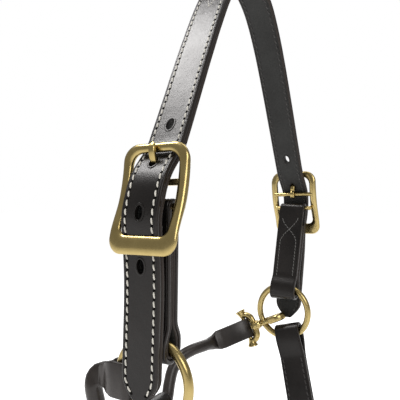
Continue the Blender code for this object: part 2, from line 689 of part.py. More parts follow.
clear_scene()
build_crown()
for label, side in SIDES:
    build_buckle(label, side)
    build_tongue(label, side)
    build_tab(label, side)
    torus(f"{label}_ring", Vector((side * RING_X, RING_Y, RING_Z)), X, RING_R, WIRE_R)
    build_cheek(label, side)
    build_square(label, side)
    build_chin(label, side)
build_noseband()
torus("lead_ring", LEAD, X.cross(JOWL), RING_R, WIRE_R)
build_jowl()
build_lash()
build_snap_eye()
build_snap_body()
build_snap_bolt()
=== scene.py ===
"""Looks of a leather headcollar: straps, stitching, brass fittings, light and camera.

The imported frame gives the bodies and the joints' places; every piece here rides on one of those bodies.
"""
import json
import math

import bmesh
import bpy
from mathutils import Matrix, Vector, noise


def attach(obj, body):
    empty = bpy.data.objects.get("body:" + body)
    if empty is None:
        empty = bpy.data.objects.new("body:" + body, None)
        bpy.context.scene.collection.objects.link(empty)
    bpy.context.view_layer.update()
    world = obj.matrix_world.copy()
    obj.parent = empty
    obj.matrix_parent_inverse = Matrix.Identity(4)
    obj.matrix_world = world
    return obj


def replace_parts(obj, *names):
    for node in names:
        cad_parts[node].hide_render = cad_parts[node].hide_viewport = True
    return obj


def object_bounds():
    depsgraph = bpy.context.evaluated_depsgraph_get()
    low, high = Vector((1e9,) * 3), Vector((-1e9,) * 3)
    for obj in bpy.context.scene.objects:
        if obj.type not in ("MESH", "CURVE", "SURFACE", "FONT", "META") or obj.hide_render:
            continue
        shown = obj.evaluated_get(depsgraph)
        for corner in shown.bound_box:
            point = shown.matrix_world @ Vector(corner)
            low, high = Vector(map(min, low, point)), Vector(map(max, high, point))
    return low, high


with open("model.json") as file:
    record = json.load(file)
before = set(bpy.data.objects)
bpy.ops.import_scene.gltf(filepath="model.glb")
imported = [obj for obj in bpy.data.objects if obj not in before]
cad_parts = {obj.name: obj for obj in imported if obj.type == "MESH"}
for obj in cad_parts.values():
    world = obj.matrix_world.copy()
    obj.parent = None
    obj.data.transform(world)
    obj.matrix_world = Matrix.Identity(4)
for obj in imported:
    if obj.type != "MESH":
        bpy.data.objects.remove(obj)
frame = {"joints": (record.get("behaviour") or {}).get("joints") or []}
CAD_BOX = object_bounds()
SCENE = bpy.context.scene

MM = 0.001
X = Vector((1, 0, 0))
Y = Vector((0, 1, 0))
Z = Vector((0, 0, 1))
JOINTS = {j["name"]: j for j in frame["joints"]}
SIDES = (("left", 1), ("right", -1))
CORNERS = ((1, 1, 0), (-1, 1, 90), (-1, -1, 180), (1, -1, 270))  # signs, first angle of the arc

# leather
STRAP_W = 25 * MM
LAYER_T = 2.7 * MM
PLY_GAP = 0.3 * MM
LINER_T = 1.9 * MM
CHEEK_T = 3 * MM
LASH_R = 5.6 * MM
LASH_FLAT_T = 2.8 * MM
RING_LAP_W = 22.4 * MM
SNAP_LAP_W = 19 * MM
LAP_TURN = math.radians(55)
LAP_LEN = 35 * MM
LAP_EDGE = 0.9 * MM
EDGE_R = 1 * MM
WAVE = 0.10 * MM  # slow unevenness of a leather face
STEP = 2.5 * MM  # spacing of a strap's cross sections
FOLD_STEPS = 18
BAR_GAP = 0.3 * MM  # between a bar or wire and what is folded round it
CHEEK_GAP = 1.3 * MM  # the same at a cheek strap's ring
CHIN_GAPS = (0.35 * MM, 0.6 * MM)  # at the square, at the lead ring
JOWL_GAPS = (0.4 * MM, 1.6 * MM)  # at the lead ring, at the throat lash
TAB_GAP = 1 * MM
BELT_BLEND = 22 * MM  # length over which a folded strap opens towards its bar
CHEEK_SLACK = 5 * MM  # from the wire's middle to where the fold starts
CHIN_SLACK = 4.2 * MM
JOWL_SLACK = (3.9 * MM, 3 * MM)
TAB_SLACK = 3.9 * MM

# punched holes
HOLE_W = 5.4 * MM
HOLE_L = 8.4 * MM
HOLE_PITCH = 30 * MM
HOLE_T = 9.8 * MM  # the hole in use, from the tongue bar: up the buckle and out of it
HOLE_OUT = 1.5 * MM

# stitching
STITCH = 5.1 * MM  # from one stitch to the next
THREAD_R = 0.55 * MM
PRICK_R = 0.85 * MM
SEAM_IN = 3.2 * MM  # seam from the strap's edge
SEAM_END = 16 * MM  # seam from the end of a folded strap
SQUARE_END = 14 * MM  # the same at a square, on the cheeks and the noseband
RING_END = 20 * MM  # and at a cheek strap's ring

# rings, wire sizes
RING_R = 25 * MM
WIRE_R = 3 * MM
RING_X, RING_Y, RING_Z = Vector(JOINTS["left_ring_turn"]["pos_m"])
RINGS = Vector((0, RING_Y, RING_Z))

# crown buckle
BAR1 = Vector(JOINTS["left_tongue_lift"]["pos_m"])
TILT = math.radians(10)
FRAME_OUT = (23 * MM, 22.8 * MM, -42.1 * MM)  # outside: half width, top and foot from the tongue bar
FRAME_IN = (16.6 * MM, 17.2 * MM, -31.2 * MM)
OUT_CORNERS = (10.5 * MM, 8.5 * MM)
IN_CORNERS = (7.5 * MM, 5 * MM)
# how far the frame's faces stand out: (up the frame, outward) in millimetres
FACE_OUT = ((24, 4.8), (16, 4.6), (6, 4.0), (-3, 4.1), (-12.4, 5.0), (-29, 8.5), (-43, 9.2))
FACE_IN = ((24, 1.0), (18, 0.6), (10, -1.0), (-3, -1.4), (-12.4, -0.2), (-29, 4.6), (-43, 4.9))
LUG_A = 16.9 * MM
LUG_R = 1.9 * MM
BAR1_R = 2 * MM
BAR2_R = 1.8 * MM
BAR2_DROP = 13.5 * MM
BAR2_IN = 3 * MM
TONGUE_W = 4.2 * MM
TONGUE_T = 2.8 * MM

# nose part
SWING = math.radians(15)
DOWN = Vector((0, -math.sin(SWING), -math.cos(SWING)))
FORE = Vector((0, -math.cos(SWING), math.sin(SWING)))
CHEEK_LEN = 163 * MM
CHEEK_LEAN = 0.206
SQUARE_HALF = 19 * MM
SQUARE_R = 2.5 * MM
NOSE_REACH = 105 * MM
NOSE_LAP = 42 * MM  # length of the noseband's turned-in ends
CHIN_BACK = 88 * MM
CHIN_DOWN = 205 * MM
LEAD = Vector(JOINTS["lead_ring_turn"]["pos_m"])
LASH_DIP = Vector((0, 84, -357)) * MM
JOWL = (LASH_DIP - LEAD).normalized()
TAB_SLOPE = math.radians(4.3)
TAB_BLEND = 12 * MM  # as BELT_BLEND, for a tab

# snap
SNAP = Vector(JOINTS["snap_swivel"]["pos_m"])
S_DIR = Vector(JOINTS["snap_swivel"]["axis"]).normalized()
E_DIR = X.cross(S_DIR).normalized() * -1
BOLT_OFF = 6.5  # millimetres from the snap's axis
LAP_DIR = -X * math.sin(LAP_TURN) - S_DIR * math.cos(LAP_TURN)
LAP_OUT = E_DIR.cross(LAP_DIR)


# ---- materials

def put(node, values):
    """Set inputs of a shader node by name."""
    for name, value in values.items():
        node.inputs[name].default_value = value


class Nodes:
    """A material's node tree, with short ways to add what the materials here share."""

    def __init__(self, name):
        self.mat = bpy.data.materials.new(name)
        self.mat.use_nodes = True
        self.tree = self.mat.node_tree
        self.shader = self.tree.nodes["Principled BSDF"]

    def add(self, kind, **settings):
        node = self.tree.nodes.new(kind)
        for key, value in settings.items():
            setattr(node, key, value)
        return node

    def link(self, a, b):
        self.tree.links.new(a, b)

    def drive(self, name, source):
        self.link(source, self.shader.inputs[name])

    def ramp(self, source, stops):
        node = self.add("ShaderNodeValToRGB")
        elements = node.color_ramp.elements
        while len(elements) < len(stops):
            elements.new(0.5)
        for element, (place, color) in zip(elements, stops):
            element.position = place
            element.color = (*color, 1)
        self.link(source, node.inputs["Fac"])
        return node.outputs["Color"]

    def spread(self, source, low, high):
        node = self.add("ShaderNodeMapRange")
        put(node, {"To Min": low, "To Max": high})
        self.link(source, node.inputs["Value"])
        return node.outputs["Result"]

    def mix(self, factor, a, b, blend="MIX"):
        node = self.add("ShaderNodeMix", data_type="RGBA", blend_type=blend)
        for socket, value in ((node.inputs[0], factor), (node.inputs[6], a), (node.inputs[7], b)):
            if isinstance(value, bpy.types.NodeSocket):
                self.link(value, socket)
            elif isinstance(value, tuple):
                socket.default_value = (*value, 1)
            else:
                socket.default_value = value
        return node.outputs[2]

    def place(self):
        return self.add("ShaderNodeTexCoord").outputs["Object"]

    def noise(self, place, scale, detail=3, rough=0.55):
        node = self.add("ShaderNodeTexNoise")
        put(node, {"Scale": scale, "Detail": detail, "Roughness": rough})
        self.link(place, node.inputs["Vector"])
        return node.outputs["Fac"]

    def bump(self, height, strength, distance, normal=None):
        node = self.add("ShaderNodeBump")
        put(node, {"Strength": strength, "Distance": distance})
        self.link(height, node.inputs["Height"])
        if normal:
            self.link(normal, node.inputs["Normal"])
        return node.outputs["Normal"]


def leather(name, dark, light, edge, rough, pores, gloss):
    """Grained hide: colour drifts between dark and light, edges are burnished."""
    n = Nodes(name)
    at = n.place()
    drift = n.noise(at, 34, 4)
    fine = n.noise(at, 900, 3, 0.6)
    body = n.ramp(drift, ((0.32, dark), (0.72, light)))
    speck = n.ramp(fine, ((0.35, (0.72, 0.72, 0.72)), (0.65, (1.12, 1.10, 1.08))))
    body = n.mix(1.0, body, speck, "MULTIPLY")
    rim = n.add("ShaderNodeAttribute", attribute_name="edge").outputs["Fac"]
    n.drive("Base Color", n.mix(rim, body, edge))
    n.drive("Roughness", n.spread(drift, rough - 0.06, rough + 0.08))
    cells = n.add("ShaderNodeTexVoronoi", feature="DISTANCE_TO_EDGE")
    put(cells, {"Scale": 850, "Randomness": 1.0})
    n.link(at, cells.inputs["Vector"])
    grain = n.bump(n.spread(cells.outputs["Distance"], 0, 1), pores, 0.00025)
    creases = n.bump(n.noise(at, 210, 4, 0.6), 0.22, 0.0004, grain)
    n.drive("Normal", n.bump(n.noise(at, 60, 2), 0.25, 0.0008, creases))
    put(n.shader, {"Specular IOR Level": 0.27, "Specular Tint": (1.0, 0.96, 0.94, 1), "Coat Weight": gloss,
                   "Coat Roughness": 0.28, "Coat Tint": (1.0, 0.93, 0.90, 1)})
    return n.mat


def brass(name):
    """Cast brass, satin polished, with slow changes of tint and gloss."""
    n = Nodes(name)
    at = n.place()
    drift = n.noise(at, 90, 4)
    fine = n.noise(at, 1500, 2)
    tint = n.ramp(drift, ((0.3, (0.37, 0.280, 0.112)), (0.7, (0.45, 0.350, 0.148))))
    n.drive("Base Color", tint)
    put(n.shader, {"Metallic": 1.0})
    n.drive("Roughness", n.spread(drift, 0.22, 0.29))
    n.drive("Normal", n.bump(fine, 0.03, 0.00006))
    return n.mat


def thread(name, color):
    """Waxed linen thread with its twist."""
    n = Nodes(name)
    at = n.place()
    dim = tuple(0.75 * c for c in color)
    n.drive("Base Color", n.ramp(n.noise(at, 500, 2), ((0.3, dim), (0.7, color))))
    wave = n.add("ShaderNodeTexWave", bands_direction="DIAGONAL")
    put(wave, {"Scale": 900})
    n.link(at, wave.inputs["Vector"])
    n.drive("Normal", n.bump(wave.outputs["Fac"], 0.5, 0.0001))
    put(n.shader, {"Roughness": 0.62, "Sheen Weight": 0.2})
    return n.mat


def prick_shade_paint(name):
    """Painted shade for an awl's prick: near-black colour standing in for the shade inside the hole, varied
    a little by noise.
    """
    n = Nodes(name)
    deep_shade, shallow_shade = (0.0015, 0.0012, 0.0010), (0.004, 0.0032, 0.0028)
    n.drive("Base Color", n.ramp(n.noise(n.place(), 700, 2), ((0.3, deep_shade), (0.7, shallow_shade))))
    put(n.shader, {"Roughness": 0.95, "Specular IOR Level": 0.1})
    return n.mat


GRAIN = leather("leather_grain", (0.0040, 0.0034, 0.0031), (0.0100, 0.0084, 0.0076), (0.009, 0.0062, 0.0050),
                0.31, 0.24, 0.05)
LINING = leather("leather_lining", (0.014, 0.0145, 0.014), (0.026, 0.027, 0.026), (0.020, 0.014, 0.011),
                 0.58, 0.35, 0.0)
ROLLED = leather("leather_rolled", (0.011, 0.0090, 0.0080), (0.026, 0.0215, 0.0190), (0.018, 0.013, 0.011),
                 0.34, 0.18, 0.30)
BRASS = brass("brass_satin")
CREAM = thread("thread_cream", (0.62, 0.59, 0.52))
GREY = thread("thread_grey", (0.10, 0.095, 0.088))
DARK = thread("thread_dark", (0.018, 0.014, 0.012))
# painted shade: near-black material of the flat marks that stand for the shade in the awl's holes
PRICK_SHADE = prick_shade_paint("awl_prick_painted_shade")


# ---- mesh helpers

def linked(name, data):
    """Object in the scene."""
    obj = bpy.data.objects.new(name, data)
    SCENE.collection.objects.link(obj)
    return obj


def add_object(name, verts, faces, material, body, smooth=40, edge=None):
    """A piece riding on a body; smooth is its crease angle, edge marks the burnished edges of leather."""
    mesh = bpy.data.meshes.new(name)
    mesh.from_pydata([tuple(v) for v in verts], [], faces)
    mesh.validate()
    if edge:
        layer = mesh.attributes.new("edge", "FLOAT", "POINT")
        layer.data.foreach_set("value", edge)
    obj = linked(name, mesh)
    mesh.materials.append(material)
    for poly in mesh.polygons:
        poly.use_smooth = True
    mesh.set_sharp_from_angle(angle=math.radians(smooth))
    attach(obj, body)
    return obj


def circle(count):
    """Cosine and sine of even steps round a circle."""
    angles = [2 * math.pi * k / count for k in range(count)]
    return [(math.cos(g), math.sin(g)) for g in angles]


def tangents(points, closed=False):
    n = len(points)
    out = []
    for i in range(n):
        a = points[(i - 1) % n] if closed or i else points[0]
        b = points[(i + 1) % n] if closed or i < n - 1 else points[-1]
        out.append((b - a).normalized())
    return out


def lengths(points):
    s = [0.0]
    for a, b in zip(points, points[1:]):
        s.append(s[-1] + (b - a).length)
    return s


def ease(t):
    t = min(1.0, max(0.0, t))
    return t * t * (3 - 2 * t)


def at_length(points, s, wanted):
    """Index and share of the way along a path at a length."""
    for i in range(len(points) - 1):
        if s[i + 1] >= wanted:
            return i, (wanted - s[i]) / max(1e-9, s[i + 1] - s[i])
    return len(points) - 2, 1.0


def resample(points, across, step):
    """The same path with even steps; across is one vector or one per point."""
    across = across if isinstance(across, list) else [across] * len(points)
    s = lengths(points)
    count = max(2, round(s[-1] / step))
    pts, acr = [], []
    for k in range(count + 1):
        i, f = at_length(points, s, s[-1] * k / count)
        pts.append(points[i].lerp(points[i + 1], f))
        acr.append(across[i].lerp(across[i + 1], f).normalized())
    return pts, acr


def spline(points, spacing):
    """Smooth curve through the points, in steps of about the spacing."""
    out = []
    for i in range(len(points) - 1):
        p1, p2 = points[i], points[i + 1]
        p0 = points[i - 1] if i else p1 * 2 - p2
        p3 = points[i + 2] if i + 2 < len(points) else p2 * 2 - p1
        steps = max(1, round((p2 - p1).length / spacing))
        for k in range(steps):
            t = k / steps
            out.append(0.5 * (2 * p1 + (p2 - p0) * t + (2 * p0 - 5 * p1 + 4 * p2 - p3) * t * t
                              + (3 * p1 - p0 - 3 * p2 + p3) * t ** 3))
    return out + [points[-1]]


def carried(points, first, last):
    """Across vectors carried along a path; what is left to turn at its end is spread along it."""
    tan = tangents(points)
    out = [(first - tan[0] * first.dot(tan[0])).normalized()]
    for a, b in zip(tan, tan[1:]):
        out.append((a.rotation_difference(b) @ out[-1]).normalized())
    goal = (last - tan[-1] * last.dot(tan[-1])).normalized()
    turn = math.atan2(out[-1].cross(goal).dot(tan[-1]), out[-1].dot(goal))
    return [Matrix.Rotation(turn * k / (len(tan) - 1), 3, t) @ v for k, (v, t) in enumerate(zip(out, tan))]


def normals(points, across):
    out = []
    for t, a in zip(tangents(points), across):
        a = (a - t * a.dot(t)).normalized()
        out.append(a.cross(t))
    return out


def round_profile(half_w, half_t, corner):
    """Rounded rectangle, or a circle when both halves equal the corner; third value marks the edges."""
    per_corner = 5
    pts = []
    for sx, sy, start in CORNERS:
        for i in range(per_corner):
            a = math.radians(start + 90 * (i + 0.5) / per_corner)
            pts.append((sx * (half_w - corner) + corner * math.cos(a),
                        sy * (half_t - corner) + corner * math.sin(a), 0.0))
    return pts


def strap_profile(half_w, half_t, *_):
    """Strap section: rounded burnished edges and a creased line along both of them."""
    r = min(EDGE_R, half_t * 0.85)
    line = min(1.55 * MM, half_w * 0.3)
    cut = 0.22 * MM
    pts = []
    for sx, sy, start in CORNERS:
        corner = []
        for i in range(4):
            a = math.radians(start + 90 * (i + 0.5) / 4)
            corner.append((sx * (half_w - r) + r * math.cos(a), sy * (half_t - r) + r * math.sin(a),
                           1.0 if abs(math.cos(a)) > 0.5 else 0.35))
        mark = [(sx * (half_w - line + d * 0.22 * MM), sy * (half_t - (cut if d == 0 else 0)),
                 0.6 if d == 0 else 0.0) for d in (1, 0, -1)]
        pts += corner + mark if start in (0, 180) else mark[::-1] + corner
    return pts


def outward(obj):
    """The same object with every face turned outward."""
    bm = bmesh.new()
    bm.from_mesh(obj.data)
    bmesh.ops.recalc_face_normals(bm, faces=bm.faces)
    bm.to_mesh(obj.data)
    bm.free()
    return obj


def sweep(name, points, across, sizes, profile, material, body, closed=False, wave=0.0):
    """Loft a section along a path. sizes: half width, half thickness, corner for each point or for all."""
    n = len(points)
    across = across if isinstance(across, list) else [across] * n
    sizes = sizes if isinstance(sizes, list) else [sizes] * n
    verts, edge, count = [], [], 0
    for p, t, a, size in zip(points, tangents(points, closed), across, sizes):
        a = (a - t * a.dot(t)).normalized()
        nrm = a.cross(t)
        section = profile(*size)
        count = len(section)
        for u, v, mark in section:
            q = p + a * u + nrm * v
            if wave:
                q = q + nrm * wave * noise.noise(q * 70)
            verts.append(q)
            edge.append(mark)
    faces = []
    for i in range(n if closed else n - 1):
        r, s = i * count, (i + 1) % n * count
        faces += [(r + k, s + k, s + (k + 1) % count, r + (k + 1) % count) for k in range(count)]
    if not closed:
        faces += [tuple(range(count)), tuple(reversed(range((n - 1) * count, n * count)))]
    return outward(add_object(name, verts, faces, material, body, edge=edge))


def stitches(name, seams, material, body, radius=THREAD_R, pitch=STITCH, fill=0.76, slant=9, phase=0.0,
             rise=1.0):
    """One capsule per stitch along each seam; a seam is points on the leather and the way out of it.

    fill is the share of the pitch that a stitch covers, slant its angle to the seam in degrees, phase its
    shift in pitches, and rise its height beside a round thread's.
    """
    rings = ((-1.0, 0.0), (-0.88, 0.62), (-0.55, 0.95), (0.0, 1.0), (0.55, 0.95), (0.88, 0.62), (1.0, 0.0))
    sides = 8
    lean = math.radians(slant)
    verts, faces = [], []
    for points, outs in seams:
        s = lengths(points)
        count = int(s[-1] / pitch)
        start = (s[-1] - count * pitch) / 2 + pitch / 2
        for k in range(count):
            i, f = at_length(points, s, start + (k + phase) * pitch)
            p = points[i].lerp(points[i + 1], f)
            out = outs[i].lerp(outs[i + 1], f).normalized()
            t = (points[i + 1] - points[i]).normalized()
            side = out.cross(t).normalized()
            t = (t * math.cos(lean) + side * math.sin(lean)).normalized()
            side = out.cross(t).normalized()
            base = len(verts)
            half = pitch * fill / 2
            for place, r in rings:
                c = p + t * half * place + out * radius * rise * (0.55 - 0.75 * place * place)
                if r == 0:
                    verts.append(c)
                    continue
                for ca, sa in circle(sides):
                    verts.append(c + side * radius * r * ca + out * radius * rise * r * 0.85 * sa)
            last = base + 1 + sides * (len(rings) - 2)
            for j in range(sides):
                q = (j + 1) % sides
                faces.append((base, base + 1 + q, base + 1 + j))
                faces.append((last, last - sides + j, last - sides + q))
                for m in range(len(rings) - 3):
                    a = base + 1 + m * sides
                    faces.append((a + j, a + q, a + sides + q, a + sides + j))
    return add_object(name, verts, faces, material, body, 60)


def pricked(name, seams, material, body):
    """A seam of stitches; a cream seam also gets flat near-black marks between its stitches, painted shade
    standing for the awl's holes.
    """
    stitches(name, seams, material, body)
    # flat near-black capsules between the stitches: painted shade where the awl pricked the leather
    if material is CREAM:
        stitches(f"{name}_prick_shade_marks", seams, PRICK_SHADE, body, PRICK_R, fill=0.42, slant=-24, phase=0.5,
                         rise=0.16)


def edge_seams(name, body, lines, across, nrm, pick, lift):
    """Seams along both edges of a folded strap: cream on its outer leg, dark on its inner one."""
    for label, line, face, material in (("out", lines[0], 1, CREAM), ("in", lines[1], -1, DARK)):
        seams = []
        for sign in (1, -1):
            points = [line[i] + across[i] * sign * (STRAP_W / 2 - SEAM_IN) + nrm[i] * face * lift
                      for i in pick]
            seams.append((points, [nrm[i] * face for i in pick]))
        pricked(f"{name}_seam_{label}", seams, material, body)


def turned(name, profile, base, axis, body):
    """Turned brass: profile is (distance along the axis, radius)."""
    sides = 32
    u = axis.orthogonal().normalized()
    v = axis.cross(u)
    verts, faces = [], []
    for d, r in profile:
        for ca, sa in circle(sides):
            verts.append(base + axis * d + (u * ca + v * sa) * r)
    for i in range(len(profile) - 1):
        for j in range(sides):
            q = (j + 1) % sides
            faces.append((i * sides + j, i * sides + q, (i + 1) * sides + q, (i + 1) * sides + j))
    faces += [tuple(reversed(range(sides))), tuple(range(len(verts) - sides, len(verts)))]
    return add_object(name, verts, faces, BRASS, body)


def bar(name, a, b, radius, body):
    """Plain round bar with eased ends."""
    axis = (b - a).normalized()
    length = (b - a).length
    ease_r = min(0.4 * MM, radius * 0.3)
    profile = [(0, radius - ease_r), (ease_r, radius), (length - ease_r, radius), (length, radius - ease_r)]
    return turned(name, profile, a, axis, body)


def join(target, *others):
    """One piece made of several shapes that are one casting or one cut of leather."""
    bpy.ops.object.select_all(action="DESELECT")
    for obj in others:
        obj.select_set(True)
    target.select_set(True)
    bpy.context.view_layer.objects.active = target
    bpy.ops.object.join()
    return target


def ring(name, centre, axis, body):
    """Welded ring of round wire."""
    u = axis.orthogonal().normalized()
    v = axis.cross(u)
    path = [centre + (u * ca + v * sa) * RING_R for ca, sa in circle(120)]
    obj = sweep(name, path, axis, (WIRE_R,) * 3, round_profile, BRASS, body, closed=True)
    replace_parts(obj, name.replace("_brass", ""))


# ---- folded straps

def fold(centre, out, along, radius):
    """Half circle from the out side of the centre to the other, bulging along."""
    angles = [math.pi * k / FOLD_STEPS for k in range(FOLD_STEPS + 1)]
    return [centre + out * radius * math.cos(g) + along * radius * math.sin(g) for g in angles]


def half_gap(s, total, at_start, middle, at_end, blend=BELT_BLEND):
    """Half the gap between a fold's two legs at a length along it."""
    return (middle + (at_start - middle) * (1 - ease(s / blend))
            + (at_end - middle) * (1 - ease((total - s) / blend)))


def legs(mid, nrm, hs):
    """The two legs of a fold, each half the gap from its middle line."""
    return tuple([p + n * h * way for p, n, h in zip(mid, nrm, hs)] for way in (1, -1))


def belt(node, body, mid, across, bars, thick, middle, slack=(0, 0), seam_ends=(SEAM_END, SEAM_END),
         blend=BELT_BLEND):
    """Strap folded round a bar at each end, stitched along its edges between them if seam_ends is given.

    bars are the fold radii, middle the legs' half distance between them, slack the way from each bar's
    middle to where its fold starts.
    """
    mid, across = resample(mid, across, STEP)
    nrm, tan, s = normals(mid, across), tangents(mid), lengths(mid)
    total = s[-1]
    hs = [half_gap(v, total, bars[0], middle, bars[1], blend) for v in s]
    outer, inner = legs(mid, nrm, hs)
    far = fold(mid[-1] + tan[-1] * slack[1], nrm[-1], tan[-1], bars[1])
    near = fold(mid[0] - tan[0] * slack[0], -nrm[0], -tan[0], bars[0])
    far = far if slack[1] else far[1:-1]
    near = near if slack[0] else near[1:-1]
    seam = len(mid) // 2
    gap = (inner[seam + 1] - inner[seam]).normalized() * 0.02 * MM
    pts = ([inner[seam] - gap] + inner[seam - 1::-1] + near + outer + far + inner[:seam:-1]
           + [inner[seam] + gap])
    acr = ([across[seam]] + across[seam - 1::-1] + [across[0]] * len(near) + across + [across[-1]] * len(far)
           + across[:seam:-1] + [across[seam]])
    size = (STRAP_W / 2, thick / 2, EDGE_R)
    obj = sweep(f"{node}_strap", pts, acr, size, strap_profile, GRAIN, body, wave=WAVE)
    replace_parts(obj, node)
    if seam_ends:
        pick = [i for i, v in enumerate(s) if seam_ends[0] <= v <= total - seam_ends[1]]
        edge_seams(node, body, (outer, inner), across, nrm, pick, thick / 2)
    return mid, across, nrm, hs


# ---- crown

def buckle_point(side, a, t, w):
    """Point in a buckle: a across, t up the frame, w outward, from the middle of the tongue bar."""
    up = Vector((-math.sin(TILT), 0, math.cos(TILT)))
    out = Vector((math.cos(TILT), 0, math.sin(TILT)))
    p = Vector((BAR1.x, 0, BAR1.z)) + up * t + out * w
    return Vector((side * p.x, a, p.z))


def crown_half():
    """Middle line of the crown, from the left tail's tip up to the poll."""
    low = [(121, 7.2, -289), (121.4, 6.8, -273), (122.4, 5.2, -250), (123.9, 3.4, -221),
           (125.7, 3, -199), (128.4, 1.8, -184), (127, 0.4, -171.5), (123.9, 0, -163)]
    high = [(118.9, 0, -155.8), (108.6, 0, -144), (99.8, 0, -128), (73, 0, -75),
            (51.8, 0, -37), (34, 0, -13), (20, 0, -2)]
    top = Vector((8 * MM, 0, LAYER_T + PLY_GAP / 2))
    return spline([Vector(p) * MM for p in low + high] + [top], STEP)


def tail_width(d):
    """Half width at a distance from the tail's tip."""
    tip, reach = 3 * MM, 15 * MM
    return STRAP_W / 2 if d > reach else tip + (STRAP_W / 2 - tip) * math.sin(math.pi / 2 * d / reach)


def hole_places():
    """Middle, way along and way out of each punched hole on the left half."""
    half = crown_half()
    s = lengths(half)
    aim = buckle_point(1, 0, HOLE_T, HOLE_OUT)
    best = min(range(len(half)), key=lambda i: (half[i] - aim).length)
    start = s[best] + (aim - half[best]).dot(tangents(half)[best])
    places = []
    for k in (-2, -1, 0, 1):
        i, f = at_length(half, s, start + k * HOLE_PITCH)
        t = (half[i + 1] - half[i]).normalized()
        places.append((half[i].lerp(half[i + 1], f), t, Y.cross(t).normalized()))
    return places


def oval(p, t, n, side, lift, grow=0.0):
    """Outline of a punched hole at a lift out of the strap's middle."""
    a = t.cross(n)
    pts = []
    for ca, sa in circle(32):
        q = p + n * lift + t * sa * (HOLE_L / 2 + grow) + a * ca * (HOLE_W / 2 + grow)
        pts.append(Vector((side * q.x, q.y, q.z)))
    return pts


def punch(obj):
    """Cut the holes through one layer."""
    bm = bmesh.new()
    for p, t, n in hole_places():
        for _, side in SIDES:
            rows = [[bm.verts.new(v) for v in oval(p, t, n, side, d)] for d in (-7 * MM, 7 * MM)]
            count = len(rows[0])
            for i in range(count):
                j = (i + 1) % count
                bm.faces.new((rows[0][i], rows[0][j], rows[1][j], rows[1][i]))
            bm.faces.new(rows[0])
            bm.faces.new(rows[1][::-1])
    bmesh.ops.recalc_face_normals(bm, faces=bm.faces)
    mesh = bpy.data.meshes.new("punch")
    bm.to_mesh(mesh)
    bm.free()
    tool = linked("punch", mesh)
    mod = obj.modifiers.new("punch", "BOOLEAN")
    mod.operation = "DIFFERENCE"
    mod.solver = "EXACT"
    mod.object = tool
    cut = bpy.data.meshes.new_from_object(obj.evaluated_get(bpy.context.evaluated_depsgraph_get()))
    obj.modifiers.clear()
    obj.data = cut
    bpy.data.objects.remove(tool, do_unlink=True)


def hole_rims():
    """The leather that the punch pressed up round each hole, on the face and on the lining."""
    for label, side in SIDES:
        rims = []
        for k, (p, t, n) in enumerate(hole_places()):
            for lift in (LAYER_T + PLY_GAP / 2, -LAYER_T - PLY_GAP / 2):
                path = oval(p, t, n, side, lift, 0.5 * MM)
                size = (0.28 * MM, 0.62 * MM, 0.26 * MM)
                rims.append(sweep(f"{label}_hole_rim_{k}", path, Vector((side * n.x, n.y, n.z)), size,
                                  round_profile, GRAIN, "crown", closed=True))
        rim = join(*rims)
        rim.name = f"{label}_hole_rims"


def build_crown():
    """Top strap and lining with their punched holes, stitched together along both edges."""
    half = crown_half()
    path = half + [Vector((-p.x, p.y, p.z)) for p in reversed(half)]
    path, across = resample(path, Y, STEP)
    nrm, s = normals(path, across), lengths(path)
    total = s[-1]
    for node, side, material in (("crown_outer", 1, GRAIN), ("crown_lining", -1, LINING)):
        line = [p + n * side * (LAYER_T + PLY_GAP) / 2 for p, n in zip(path, nrm)]
        sizes = [(tail_width(min(v, total - v)), LAYER_T / 2, EDGE_R) for v in s]
        obj = sweep(f"{node}_strap", line, across, sizes, strap_profile, material, "crown", wave=WAVE)
        punch(obj)
        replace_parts(obj, node)
    hole_rims()
    lift = LAYER_T + PLY_GAP / 2
    for label, height, material in (("face", lift, CREAM), ("lining", -lift, DARK)):
        seams = []
        for sign in (1, -1):
            pts, outs = [], []
            for p, n, v in zip(path, nrm, s):
                d = min(v, total - v)
                if d < 4 * MM:
                    continue
                pts.append(p + Y * sign * (tail_width(d) - SEAM_IN) + n * height)
                outs.append(n if height > 0 else -n)
            seams.append((pts, outs))
        pricked(f"crown_seam_{label}", seams, material, "crown")
    fancy_stitching(path, nrm, s)


def fancy_stitching(path, nrm, s):
    """Two long lozenges of fine stitches over the poll, one in the other."""
    middle = s[-1] / 2
    seams = []
    for reach, width in ((74 * MM, 5.6 * MM), (66 * MM, 3.4 * MM)):
        for sign in (1, -1):
            pts, outs = [], []
            for p, n, v in zip(path, nrm, s):
                d = abs(v - middle)
                if d > reach:
                    continue
                swell = 0.82 + 0.18 * math.cos(d / reach * math.pi * 4)
                off = width * ease((reach - d) / (16 * MM)) * swell
                pts.append(p + Y * sign * off + n * (LAYER_T + PLY_GAP / 2))
                outs.append(n)
            seams.append((pts, outs))
    stitches("crown_fancy_stitching", seams, CREAM, "crown", 0.30 * MM, 2.6 * MM, 0.8)


# ---- buckles

def height_at(marks, t):
    """Smooth height through (up the frame, height) marks in millimetres, highest mark first."""
    t = min(marks[0][0], max(marks[-1][0], t / MM))
    i = next(k for k in range(len(marks) - 1) if t >= marks[k + 1][0])
    (t1, w1), (t0, w0) = marks[i], marks[i + 1]

    def slope(k):
        a, b = marks[max(0, k - 1)], marks[min(len(marks) - 1, k + 1)]
        return (b[1] - a[1]) / (b[0] - a[0])

    u, gap = (t - t0) / (t1 - t0), t1 - t0
    return ((2 * u ** 3 - 3 * u ** 2 + 1) * w0 + (u ** 3 - 2 * u ** 2 + u) * gap * slope(i + 1)
            + (3 * u ** 2 - 2 * u ** 3) * w1 + (u ** 3 - u ** 2) * gap * slope(i)) * MM


